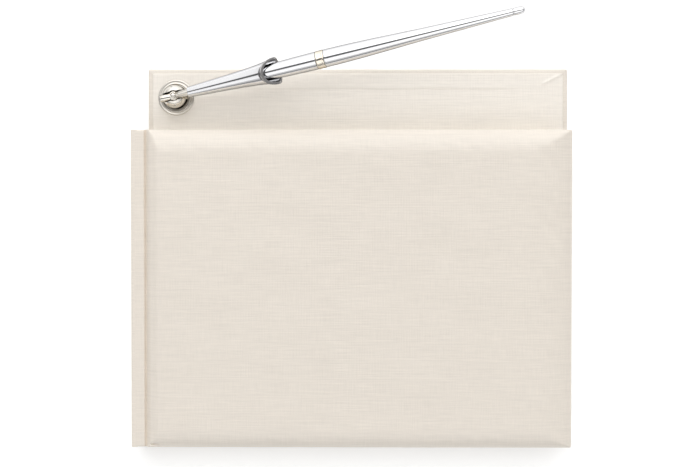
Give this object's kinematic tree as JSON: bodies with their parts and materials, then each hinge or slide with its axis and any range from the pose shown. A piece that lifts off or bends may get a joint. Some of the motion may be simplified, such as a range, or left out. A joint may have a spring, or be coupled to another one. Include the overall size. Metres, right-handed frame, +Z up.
{
  "type": "wedding guest book",
  "caption": "Ivory cloth guest book with a padded front cover, page leaves and a ledge above its head that carries a silver desk pen in a swivel funnel.",
  "frame": {"origin": "centre of the back cover's underside, on the surface that the book lies on", "axes": "+X from the spine to the fore-edge, +Y from the tail to the head and the ledge, +Z up out of the front cover"},
  "size_m": [0.2286, 0.2226, 0.0535],
  "materials": {
    "cover_cloth": "ivory slubbed satin book cloth, faint silk sheen",
    "facing_cloth": "same ivory satin cloth, faint silk sheen",
    "board": "grey binder's board",
    "foam": "white foam or wadding",
    "endpaper": "plain cream endpaper",
    "page_paper": "uncoated off-white paper",
    "mull": "open-weave spine lining",
    "band": "woven head and tail band",
    "nickel": "polished nickel plate",
    "pen_silver": "polished silver plate, fine brushing",
    "trim_gold": "polished pale gold plate",
    "steel": "plain zinc-plated steel",
    "liner_plastic": "dark grey plastic",
    "refill": "brass refill tube"
  },
  "bodies": {
    "back_cover": {"back_board": "board", "back_cloth": "cover_cloth", "ledge_facing": "facing_cloth", "back_pastedown": "endpaper", "spine_board": "board", "spine_cloth": "cover_cloth", "spine_lining": "mull", "head_band": "band", "tail_band": "band", "back_flyleaf": "endpaper", "lower_signature_1": "page_paper", "lower_signature_2": "page_paper", "lower_signature_3": "page_paper", "swivel_flange": "nickel", "pivot_rivet": "steel", "rivet_washer": "steel"},
    "front_cover": {"front_board": "board", "hinge_strip": "board", "foam_pad": "foam", "front_cloth": "cover_cloth", "front_pastedown": "endpaper"},
    "flyleaf": {"flyleaf": "endpaper"},
    "leaf_1": {"leaf_1": "page_paper"},
    "leaf_2": {"leaf_2": "page_paper"},
    "upper_pages": {"upper_signature_1": "page_paper", "upper_signature_2": "page_paper"},
    "swivel_dome": {"swivel_dome": "nickel", "tilt_pin": "steel"},
    "funnel": {"ball_stem": "nickel", "funnel_cup": "pen_silver", "funnel_liner": "liner_plastic"},
    "pen": {"pen_tip": "pen_silver", "pen_refill": "refill", "pen_barrel": "pen_silver", "pen_bush": "trim_gold", "trim_ring": "trim_gold", "pen_tail": "pen_silver", "tail_cap": "pen_silver"}
  },
  "joints": [
    {"name": "front_cover_hinge", "type": "hinge", "parent": "back_cover", "child": "front_cover", "pos_m": [-0.1143, -0.0165, 0.015], "axis": [0, -1, 0], "range_deg": [0, 180]},
    {"name": "flyleaf_turn", "type": "hinge", "parent": "back_cover", "child": "flyleaf", "pos_m": [-0.1112, -0.0165, 0.015], "axis": [0, -1, 0], "range_deg": [0, 177.4]},
    {"name": "leaf_1_turn", "type": "hinge", "parent": "back_cover", "child": "leaf_1", "pos_m": [-0.1112, -0.0165, 0.015], "axis": [0, -1, 0], "range_deg": [0, 173.8]},
    {"name": "leaf_2_turn", "type": "hinge", "parent": "back_cover", "child": "leaf_2", "pos_m": [-0.1112, -0.0165, 0.015], "axis": [0, -1, 0], "range_deg": [0, 170.2]},
    {"name": "upper_pages_turn", "type": "hinge", "parent": "back_cover", "child": "upper_pages", "pos_m": [-0.1112, -0.0165, 0.015], "axis": [0, -1, 0], "range_deg": [0, 165.7]},
    {"name": "swivel_turn", "type": "hinge", "parent": "back_cover", "child": "swivel_dome", "pos_m": [-0.0928, 0.08395, 0.0137], "axis": [0, 0, 1], "range_deg": [-11, 160]},
    {"name": "funnel_tilt", "type": "hinge", "parent": "swivel_dome", "child": "funnel", "pos_m": [-0.0928, 0.08395, 0.0137], "axis": [0.2113, -0.9774, 0], "range_deg": [-4, 26]},
    {"name": "pen_slide", "type": "slide", "parent": "funnel", "child": "pen", "axis": [0.9561, 0.2067, 0.2079], "range_m": [0, 0.12]}
  ],
  "couplings": [
    {"joint": "flyleaf_turn", "follows": "front_cover_hinge", "ratio": 0.985},
    {"joint": "leaf_1_turn", "follows": "front_cover_hinge", "ratio": 0.965},
    {"joint": "leaf_2_turn", "follows": "front_cover_hinge", "ratio": 0.945},
    {"joint": "upper_pages_turn", "follows": "front_cover_hinge", "ratio": 0.92}
  ]
}
